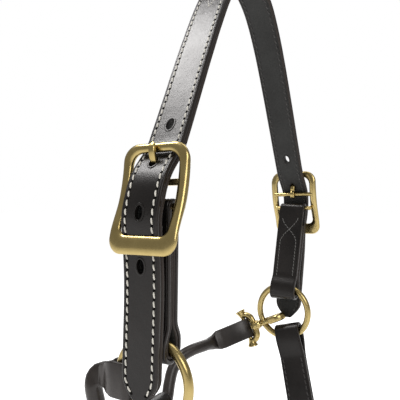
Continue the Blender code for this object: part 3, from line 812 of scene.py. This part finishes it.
def frame_curve(shape, corners):
    """Rounded rectangle of the frame as (across, up) points, anticlockwise from its right side."""
    half, top, foot = shape
    per_arc, per_upright, per_bar = 12, 30, 12
    pts = []
    for sa, st, start in CORNERS:
        r = corners[0] if st > 0 else corners[1]
        ca, ct = sa * (half - r), (top - r if st > 0 else foot + r)
        for k in range(per_arc + 1):
            g = math.radians(start + 90 * k / per_arc)
            pts.append((ca + r * math.cos(g), ct + r * math.sin(g)))
        upright = start in (90, 270)
        other = corners[1] if st > 0 else corners[0]
        if upright:
            goal, steps = (sa * half, foot + other if st > 0 else top - other), per_upright
        else:
            goal, steps = (-ca, top if st > 0 else foot), per_bar
        a, t = pts[-1]
        pts += [(a + (goal[0] - a) * k / steps, t + (goal[1] - t) * k / steps) for k in range(1, steps)]
    return pts


def frame_surface(label, side):
    """Full, softly squared bar between the two outlines; its faces stand out by FACE_OUT and FACE_IN."""
    outer = frame_curve(FRAME_OUT, OUT_CORNERS)
    inner = frame_curve(FRAME_IN, IN_CORNERS)
    around = 32
    verts, faces = [], []
    for (ao, to), (ai, ti) in zip(outer, inner):
        for k in range(around):
            g = 2 * math.pi * (k + 0.5) / around
            c, d = (math.copysign(abs(v) ** 0.94, v) for v in (math.cos(g), math.sin(g)))
            t = (to + ti) / 2 + (to - ti) / 2 * c
            high, low = height_at(FACE_OUT, t), height_at(FACE_IN, t)
            verts.append(buckle_point(side, (ao + ai) / 2 + (ao - ai) / 2 * c, t,
                                      (high + low) / 2 + (high - low) / 2 * d))
    for i in range(len(outer)):
        r, q = i * around, (i + 1) % len(outer) * around
        faces += [(r + k, q + k, q + (k + 1) % around, r + (k + 1) % around) for k in range(around)]
    return outward(add_object(f"{label}_buckle_brass", verts, faces, BRASS, "crown"))


def build_buckle(label, side):
    """Cast frame with its tongue bar, and the tab bar set back on two lugs."""
    frame_obj = frame_surface(label, side)
    half = (FRAME_OUT[0] + FRAME_IN[0]) / 2
    t2, w2 = -BAR2_DROP, -BAR2_IN
    ends = [("tongue_bar", (-half, 0, 0), (half, 0, 0), BAR1_R),
            ("tab_bar", (-LUG_A, t2, w2), (LUG_A, t2, w2), BAR2_R)]
    ends += [("lug", (way * LUG_A, t2, w2 - LUG_R), (way * LUG_A, t2, 2 * MM), LUG_R) for way in (-1, 1)]
    bars = [bar(name, buckle_point(side, *a), buckle_point(side, *b), r, "crown") for name, a, b, r in ends]
    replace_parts(join(frame_obj, *bars), f"{label}_buckle_frame")


def build_tongue(label, side):
    """Tongue that curls round its bar, rises through the strap's hole and lies on the frame's top."""
    curl = []
    for g in range(145, 346, 10):
        half_t = TONGUE_T / 2 * (0.45 + 0.55 * ease((g - 145) / 120))
        reach = BAR1_R + BAR_GAP + half_t
        curl.append((reach * math.sin(math.radians(g)), reach * math.cos(math.radians(g)), half_t))
    rise = [(-1.5, 4.7), (-0.8, 7.2), (1.5, 10.0), (4.5, 12.7), (6.4, 16.0), (6.8, 19.3), (6.5, 22.0)]
    path = spline([Vector((w, 0, t)) * MM for w, t in rise], 1.2 * MM)
    line = curl + [(p.x, p.z, TONGUE_T / 2) for p in path]
    pts = [buckle_point(side, 0, t, w) for w, t, _ in line]
    sizes = [(TONGUE_W / 2, half_t, 0.75 * half_t) for _, _, half_t in line]
    for from_tip, share in ((1, 0.8), (0, 0.45)):
        sizes[-1 - from_tip] = tuple(v * share for v in sizes[-1 - from_tip])
    obj = sweep(f"{label}_tongue_brass", pts, Y, sizes, round_profile, BRASS, f"{label}_tongue")
    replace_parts(obj, f"{label}_buckle_tongue")


# ---- tabs, rings, cheeks

def build_tab(label, side):
    """Short strap folded from the buckle's tab bar to the ring, over a thin chape that lines the fold."""
    top = buckle_point(side, 0, -BAR2_DROP, -BAR2_IN)
    foot = (Vector((side * RING_X, RING_Y, RING_Z))
            + (Z * math.cos(TAB_SLOPE) - Y * math.sin(TAB_SLOPE)) * RING_R)
    gap, chape_from = 0.2 * MM, 16 * MM  # half the gap in the chape; where it starts
    lap = LINER_T + PLY_GAP + LAYER_T / 2
    at_ring = WIRE_R + TAB_GAP
    line = [top.lerp(foot, k / 10) for k in range(11)]
    mid, across, nrm, hs = belt(f"{label}_tab", "crown", line, -side * Y,
                                (BAR2_R + BAR_GAP + LAYER_T / 2, at_ring + lap), LAYER_T, gap + lap,
                                (0, TAB_SLACK), None, TAB_BLEND)
    s = lengths(mid)
    hl = [half_gap(v, s[-1], gap + LINER_T / 2, gap + LINER_T / 2, at_ring + LINER_T / 2, TAB_BLEND)
          for v in s]
    first = next(i for i, v in enumerate(s) if v > chape_from)
    tan = tangents(mid)
    down, up = (leg[first:] for leg in legs(mid, nrm, hl))
    turn = fold(mid[-1] + tan[-1] * TAB_SLACK, nrm[-1], tan[-1], at_ring + LINER_T / 2)
    liner = sweep(f"{label}_tab_chape", down + turn + up[::-1], -side * Y,
                  (STRAP_W / 2 - 0.4 * MM, LINER_T / 2, 0.7 * MM), strap_profile, LINING, "crown")
    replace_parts(liner, f"{label}_tab_liner")
    tab_seams(label, mid, across, nrm, hs, s)


def tab_seams(label, mid, across, nrm, hs, s):
    """Two seams that cross in an X under the buckle and then run side by side to the ring."""
    first, last, crossed, off = 9 * MM, 8 * MM, 26 * MM, 8.2 * MM
    seams = []
    for face in (1, -1):
        for sign in (1, -1):
            pts, outs = [], []
            for p, a, n, h, v in zip(mid, across, nrm, hs, s):
                if not first < v < s[-1] - last:
                    continue
                reach = off * math.cos(math.pi * min(1.0, (v - first) / crossed))
                pts.append(p + a * sign * reach + n * face * (h + LAYER_T / 2))
                outs.append(n * face)
            seams.append((pts, outs))
    stitches(f"{label}_tab_seams", seams, GREY, "crown", 0.36 * MM, 3.1 * MM, 0.92)


def cheek_dir(side):
    return (DOWN - X * side * CHEEK_LEAN).normalized()


def nose_point(x, f, u):
    """Point of the nose part: x left, f forward, u down the face, from the middle between the rings."""
    return RINGS + X * x + FORE * f + DOWN * u


def square_centre(side):
    return nose_point(side * RING_X, 0, RING_R) + cheek_dir(side) * (CHEEK_LEN + SQUARE_HALF)


def build_cheek(label, side):
    """Cheek strap from the ring to the square."""
    start = nose_point(side * RING_X, 0, RING_R)
    mid = [start, start + cheek_dir(side) * CHEEK_LEN]
    belt(f"{label}_cheek", "nosepiece", mid, FORE * side,
         (WIRE_R + CHEEK_GAP + CHEEK_T / 2, SQUARE_R + BAR_GAP + CHEEK_T / 2), CHEEK_T,
         PLY_GAP / 2 + CHEEK_T / 2, (CHEEK_SLACK, 0), (RING_END, SQUARE_END))


def build_square(label, side):
    """Square of round wire with rounded corners."""
    c, d = square_centre(side), cheek_dir(side)
    r = 5 * MM
    pts = []
    for sf, sd, start in CORNERS:
        for k in range(10):
            g = math.radians(start + 10 * k)
            pts.append(c + FORE * (sf * (SQUARE_HALF - r) + r * math.cos(g))
                       + d * (sd * (SQUARE_HALF - r) + r * math.sin(g)))
    out = FORE.cross(d)
    obj = sweep(f"{label}_square_brass", pts, out, (SQUARE_R,) * 3, round_profile, BRASS,
                "nosepiece", closed=True)
    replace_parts(obj, f"{label}_square")


# ---- noseband, chin, jowl

def build_noseband():
    """Outer strap with its ends turned in round the squares, and the lining between those ends."""
    c = square_centre(1)
    x0 = c.x
    u0 = (c - RINGS).dot(DOWN)
    steps = 120
    mid, across = [], []
    for k in range(steps + 1):
        g = math.pi * k / steps
        f = SQUARE_HALF + NOSE_REACH * math.sin(g) ** 0.9
        x = x0 * math.copysign(abs(math.cos(g)) ** 0.9, math.cos(g))
        mid.append(nose_point(x, f, u0))
        across.append(-(DOWN - X * CHEEK_LEAN * x / x0).normalized())
    mid, across = resample(mid, across, STEP)
    bar_r = SQUARE_R + BAR_GAP + LAYER_T / 2
    nrm, tan, s = normals(mid, across), tangents(mid), lengths(mid)
    tan[0], tan[-1] = FORE, -FORE
    nrm[0] = across[0].cross(tan[0]).normalized()
    nrm[-1] = across[-1].cross(tan[-1]).normalized()
    ply = LAYER_T / 2 + PLY_GAP / 2
    hs = [half_gap(v, s[-1], bar_r, ply, bar_r, 20 * MM) for v in s]
    outer, inner = legs(mid, nrm, hs)
    cut = next(i for i, v in enumerate(s) if v > NOSE_LAP)
    near = fold(mid[0], -nrm[0], -tan[0], bar_r)[1:-1]
    far = fold(mid[-1], nrm[-1], tan[-1], bar_r)[1:-1]
    pts = inner[cut::-1] + near + outer + far + inner[:-cut - 2:-1]
    acr = across[cut::-1] + [across[0]] * len(near) + across + [across[-1]] * len(far) + across[:-cut - 2:-1]
    size = (STRAP_W / 2, LAYER_T / 2, EDGE_R)
    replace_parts(sweep("noseband_strap", pts, acr, size, strap_profile, GRAIN, "nosepiece", wave=WAVE),
                "noseband_outer")
    a, b = cut + 1, len(mid) - cut - 1
    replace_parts(sweep("noseband_inside", inner[a:b], across[a:b], size, strap_profile, LINING, "nosepiece",
                      wave=WAVE), "noseband_lining")
    pick = [i for i, v in enumerate(s) if SQUARE_END < v < s[-1] - SQUARE_END]
    edge_seams("noseband", "nosepiece", (outer, inner), across, nrm, pick, LAYER_T / 2)


def build_chin(label, side):
    """Strap that bends from the square back and in to the lead ring."""
    c = square_centre(side)
    x0 = abs(c.x)
    u0 = (c - RINGS).dot(DOWN)
    steps = 60
    mid, across = [], []
    for k in range(steps + 1):
        g = math.pi / 2 * k / steps
        x = RING_R + (x0 - RING_R) * math.cos(g)
        f = -SQUARE_HALF - (CHIN_BACK - SQUARE_HALF) * math.sin(g)
        mid.append(nose_point(side * x, f, u0 + (CHIN_DOWN - u0) * k / steps))
        across.append(side * cheek_dir(side).lerp(-JOWL, k / steps).normalized())
    belt(f"{label}_chin_strap", "nosepiece", mid, across,
         (SQUARE_R + CHIN_GAPS[0] + LAYER_T / 2, WIRE_R + CHIN_GAPS[1] + LAYER_T / 2), LAYER_T,
         PLY_GAP / 2 + LAYER_T / 2, (0, CHIN_SLACK))


def build_jowl():
    """Back strap from the lead ring up to a loop that the throat lash runs through."""
    start = LEAD + JOWL * RING_R
    belt("jowl_strap", "nosepiece", [start, LASH_DIP], -X,
         (WIRE_R + JOWL_GAPS[0] + LAYER_T / 2, LASH_R + JOWL_GAPS[1] + LAYER_T / 2), LAYER_T,
         PLY_GAP / 2 + LAYER_T / 2, JOWL_SLACK)


# ---- throat lash and snap

def snap_point(s, e, n):
    """Point s along the snap towards its hook, e along the eye's bar, n outward, in millimetres."""
    return SNAP + (S_DIR * s + E_DIR * e + X * n) * MM


def build_lash():
    """Rolled leather whose flat ends turn back on themselves, one round the right ring, one in the snap."""
    flat = LASH_FLAT_T / 2
    rows = []

    def add(p, a, half_w, half_t, corner):
        rows.append((p, a, (half_w, half_t, corner)))

    def flat_run(line):
        smooth = spline([p for p, _ in line], 1.5 * MM)
        s, marks = lengths(smooth), lengths([p for p, _ in line])
        for p, v in zip(smooth, s):
            at = v * marks[-1] / s[-1]
            k = min(len(marks) - 2, max(i for i, m in enumerate(marks) if m <= at + 1e-9))
            f = (at - marks[k]) / (marks[k + 1] - marks[k])
            add(p, -Z, line[k][1] + (line[k + 1][1] - line[k][1]) * ease(f), flat, LAP_EDGE)

    wire = Vector((-RING_X, RING_Y + RING_R, RING_Z - 2 * MM))
    turn = fold(wire - Y * 5.3 * MM, -X, -Y, WIRE_R + 0.4 * MM + flat)
    neck = ((14, 1.9, 6.9), (10, 2.6, 7.8), (6.5, 4.1, 9.8), (2.5, 5.0, 11.0))  # back, aside, half width
    lap = [(wire + Vector((-aside, back, 0)) * MM, half_w * MM) for back, aside, half_w in neck]
    leg = [(wire + Vector((aside, back, 0)) * MM, half_w * MM) for back, aside, half_w in neck[::-1]]
    tip = lap[0][0] + Y * 1.2 * MM
    add(tip, -Z, lap[0][1] - 2.2 * MM, flat, LAP_EDGE)
    flat_run(lap + [(turn[0], RING_LAP_W / 2)])
    for p in turn[1:-1]:
        add(p, -Z, RING_LAP_W / 2, flat, LAP_EDGE)
    flat_run([(turn[-1], RING_LAP_W / 2)] + leg)
    route = [(-109.2, 50.5, -284.4), (-109.9, 53.6, -287.6), (-109.9, 54.6, -292), (-109.4, 53.8, -298),
             (-108.2, 52.6, -306), (-105, 54, -319), (-98, 60, -335), (-85, 68, -350),
             (-66, 75.5, -359.5), (-45, 81, -362), (-27, 83.6, -359.6), (-13, 84, -357.2),
             (0, 84, -357), (12.5, 84.4, -356.4), (20, 87, -350.5), (26, 89, -341),
             (33, 89.5, -330), (42, 86, -320.8), (52, 80.5, -316.4), (63, 75.5, -314.8)]
    lap_end = SNAP + LAP_DIR * (LAP_LEN + 5 * MM) - LAP_OUT * 1.4 * MM
    line = spline([Vector(p) * MM for p in route] + [lap_end], 2.0 * MM)
    s = lengths(line)
    for p, a, v in zip(line, carried(line, -Z, -E_DIR), s):
        near = 1 - ease(v / (9 * MM))
        far = 1 - ease((s[-1] - v) / (9 * MM))
        half_w = LASH_R + (7.0 * MM - LASH_R) * near + (SNAP_LAP_W / 2 - LASH_R) * 0.35 * far
        half_t = LASH_R + (2.6 * MM - LASH_R) * near + (2.9 * MM - LASH_R) * far
        add(p, a, half_w, half_t, min(half_w, half_t) * 0.98)
    below = [(34, 1.8), (27, 1.8), (16, 1.9), (9, 2.5), (4.5, 3.5)]
    above = [(4.5, 3.5), (9, 2.5), (16, 1.9), (27, 1.8), (33, 2.0), (38.5, 2.6)]
    for p in spline([SNAP + (LAP_DIR * along - LAP_OUT * off) * MM for along, off in below], 2 * MM):
        add(p, -E_DIR, SNAP_LAP_W / 2, flat, LAP_EDGE)
    for p in fold(SNAP, -LAP_OUT, -LAP_DIR, 2.3 * MM + flat):
        add(p, -E_DIR, SNAP_LAP_W / 2, flat, LAP_EDGE)
    line = spline([SNAP + (LAP_DIR * along + LAP_OUT * off) * MM for along, off in above], 0.9 * MM)
    s = lengths(line)
    for p, v in zip(line, s):
        left = min(1.0, (s[-1] - v) / (8 * MM))
        half_w = 4.4 * MM + (SNAP_LAP_W / 2 - 4.4 * MM) * math.sqrt(1 - (1 - left) ** 2)
        skived = flat * (0.45 + 0.55 * ease(left))
        add(p, -E_DIR, half_w, skived, min(LAP_EDGE, skived * 0.9))
    pts, acr, sizes = (list(v) for v in zip(*rows))
    obj = sweep("throat_lash_leather", pts, acr, sizes, round_profile, ROLLED, "nosepiece", wave=WAVE)
    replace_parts(obj, "throat_lash")


def rod(name, profile, n=0.0, body="snap_body"):
    """Turned brass piece on a line beside the snap's axis: profile of (along, radius) in millimetres."""
    first = profile[0][0]
    steps = [((d - first) * MM, r * MM) for d, r in profile]
    return turned(name, steps, snap_point(first, 0, n), S_DIR, body)


def build_snap_eye():
    """Eye whose bar the lash turns round, with a trumpet end above and below."""
    loop = [(0, -13.2, 2.8), (5.2, -13.2, 3.1), (9.0, -9.4, 3.1), (10.2, -4, 2.6), (10.2, 4, 2.6),
            (9.0, 9.4, 3.1), (5.2, 13.2, 3.1), (0, 13.2, 2.8), (0, 10.5, 2.0), (0, 0, 2.0), (0, -10.5, 2.0)]
    ends = loop + [loop[0]]
    line = []
    for (s0, e0, r0), (s1, e1, r1) in zip(ends, ends[1:]):
        line += [(s0 + (s1 - s0) * k / 4, e0 + (e1 - e0) * k / 4, r0 + (r1 - r0) * k / 4) for k in range(4)]
    for _ in range(2):
        line = [tuple((line[i - 1][j] + 2 * line[i][j] + line[(i + 1) % len(line)][j]) / 4 for j in range(3))
                for i in range(len(line))]
    pts = [snap_point(s, e, 0) for s, e, _ in line]
    sizes = [(r * MM,) * 3 for _, _, r in line]
    eye = sweep("snap_eye_loop", pts, X, sizes, round_profile, BRASS, "nosepiece", closed=True)
    parts = [rod("yoke", [(8.2, 3.6), (8.6, 4.9), (9.2, 5.4), (11.4, 5.4), (12.0, 4.8)], 0.0, "nosepiece")]
    flare = ((0, 3.3), (1.5, 3.4), (3.0, 3.8), (4.4, 4.5), (5.3, 5.1), (6.1, 5.2), (6.6, 4.6), (6.6, 3.2),
             (5.4, 2.0))
    for way in (-1, 1):
        parts.append(turned("ear", [(d * MM, r * MM) for d, r in flare], snap_point(0.6, way * 12.3, 0),
                            (E_DIR * way - S_DIR * 0.16).normalized(), "nosepiece"))
        arm = [(4.6, way * 12.9), (7.4, way * 9.8), (8.7, way * 5.5), (9.0, way * 1.5)]
        arm = spline([snap_point(s, e, 0) for s, e in arm], 1.0 * MM)
        parts.append(sweep("web", arm, X, (2.1 * MM, 3.0 * MM, 2.1 * MM), round_profile, BRASS, "nosepiece"))
    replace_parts(join(eye, *parts), "snap_eye")


def build_snap_body():
    """Swivelling hook with the barrel that its bolt slides in."""
    bend = [(36.5 + BOLT_OFF * math.sin(math.radians(g)), BOLT_OFF * math.cos(math.radians(g)))
            for g in range(0, 181, 15)]
    hook = [(14.4, 0.5), (16, 3.3), (17.7, 5.7), (20, BOLT_OFF), (27, BOLT_OFF), (34, BOLT_OFF)]
    hook += bend + [(33, -BOLT_OFF), (30, -BOLT_OFF)]
    path = spline([snap_point(s, 0, n) for s, n in hook], 0.8 * MM)
    body = sweep("snap_hook", path, E_DIR, (3.4 * MM, 2.3 * MM, 2.1 * MM), round_profile, BRASS, "snap_body")
    parts = [rod("boss", [(12.4, 3.8), (12.9, 4.6), (14.4, 4.6), (16.4, 3.2)]),
             rod("pin", [(6.2, 2.4), (6.7, 3.1), (7.8, 3.1), (8.2, 1.8), (13.0, 1.8)]),
             rod("barrel", [(12.6, 2.7), (13.1, 3.2), (19.5, 3.2), (20.0, 2.7)], -BOLT_OFF)]
    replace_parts(join(body, *parts), "snap_body")


def build_snap_bolt():
    """Bolt with its thumb knob."""
    bolt = rod("snap_bolt_brass", [(18.6, 1.75), (29.2, 1.75), (29.6, 1.3)], -BOLT_OFF, "snap_bolt")
    head = ((0, 0.95), (3.8, 0.95), (4.1, 1.9), (4.6, 2.3), (5.6, 2.3), (6.2, 1.6))
    knob = turned("knob", [(d * MM, r * MM) for d, r in head], snap_point(19.9, 0, -BOLT_OFF), -X,
                  "snap_bolt")
    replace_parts(join(bolt, knob), "snap_bolt")


# ---- stage, light, camera

def build_stage():
    """Plain white floor."""
    n = Nodes("studio_white")
    put(n.shader, {"Base Color": (0.8, 0.8, 0.8, 1), "Roughness": 1.0, "Specular IOR Level": 0.0,
                   "Emission Color": (1, 1, 1, 1), "Emission Strength": 0.72})
    size, z = 40.0, CAD_BOX[0][2] - 0.03
    mesh = bpy.data.meshes.new("floor")
    mesh.from_pydata([(x * size, y * size, z) for x, y in ((-1, -1), (1, -1), (1, 1), (-1, 1))], [],
                     [(0, 1, 2, 3)])
    obj = linked("floor", mesh)
    mesh.materials.append(n.mat)


def area_light(name, place, target, size, power):
    data = bpy.data.lights.new(name, "AREA")
    data.shape = "RECTANGLE"
    data.size, data.size_y = size
    data.energy = power
    obj = linked(name, data)
    obj.location = place
    obj.rotation_euler = (Vector(target) - Vector(place)).to_track_quat("-Z", "Y").to_euler()


def build_light():
    """Soft boxes in a dim studio; the wall that the camera sees is white."""
    world = bpy.data.worlds.new("studio")
    world.use_nodes = True
    tree = world.node_tree
    dim = tree.nodes["Background"]
    put(dim, {"Color": (1, 1, 1, 1), "Strength": 0.36})
    wall = tree.nodes.new("ShaderNodeBackground")
    put(wall, {"Color": (1, 1, 1, 1), "Strength": 1.0})
    mix = tree.nodes.new("ShaderNodeMixShader")
    tree.links.new(tree.nodes.new("ShaderNodeLightPath").outputs["Is Camera Ray"], mix.inputs[0])
    tree.links.new(dim.outputs[0], mix.inputs[1])
    tree.links.new(wall.outputs[0], mix.inputs[2])
    tree.links.new(mix.outputs[0], tree.nodes["World Output"].inputs["Surface"])
    SCENE.world = world
    SCENE.view_settings.view_transform = "Standard"
    area_light("key", (-0.31, 0.62, 0.91), (-0.085, 0, -0.09), (0.42, 0.42), 12)
    area_light("fill", (-0.9, -1.2, 0.55), (0, 0, -0.25), (0.8, 0.8), 9)
    area_light("top", (0.3, -0.2, 1.1), (0, 0, -0.2), (0.8, 0.8), 5)
    area_light("back", (1.2, 0.6, 0.3), (0, 0, -0.2), (0.7, 0.7), 5)


def build_camera():
    """Level view from the right front, at the height of the buckles."""
    data = bpy.data.cameras.new("camera")
    data.sensor_width = 36
    data.lens = 40.97
    obj = linked("camera", data)
    SCENE.camera = obj
    place = Vector((-0.328, -0.1545, -0.1792))
    yaw, pitch = math.radians(30.72), math.radians(1.18)
    look = Vector((math.cos(yaw) * math.cos(pitch), math.sin(yaw) * math.cos(pitch), math.sin(pitch)))
    obj.location = place
    obj.rotation_euler = look.to_track_quat("-Z", "Y").to_euler()


build_camera()
build_crown()
for label, side in SIDES:
    build_buckle(label, side)
    build_tongue(label, side)
    build_tab(label, side)
    ring(f"{label}_ring_brass", Vector((side * RING_X, RING_Y, RING_Z)), X, f"{label}_ring")
    build_cheek(label, side)
    build_square(label, side)
    build_chin(label, side)
build_noseband()
ring("lead_ring_brass", LEAD, X.cross(JOWL), "lead_ring")
build_jowl()
build_lash()
build_snap_eye()
build_snap_body()
build_snap_bolt()
build_stage()
build_light()
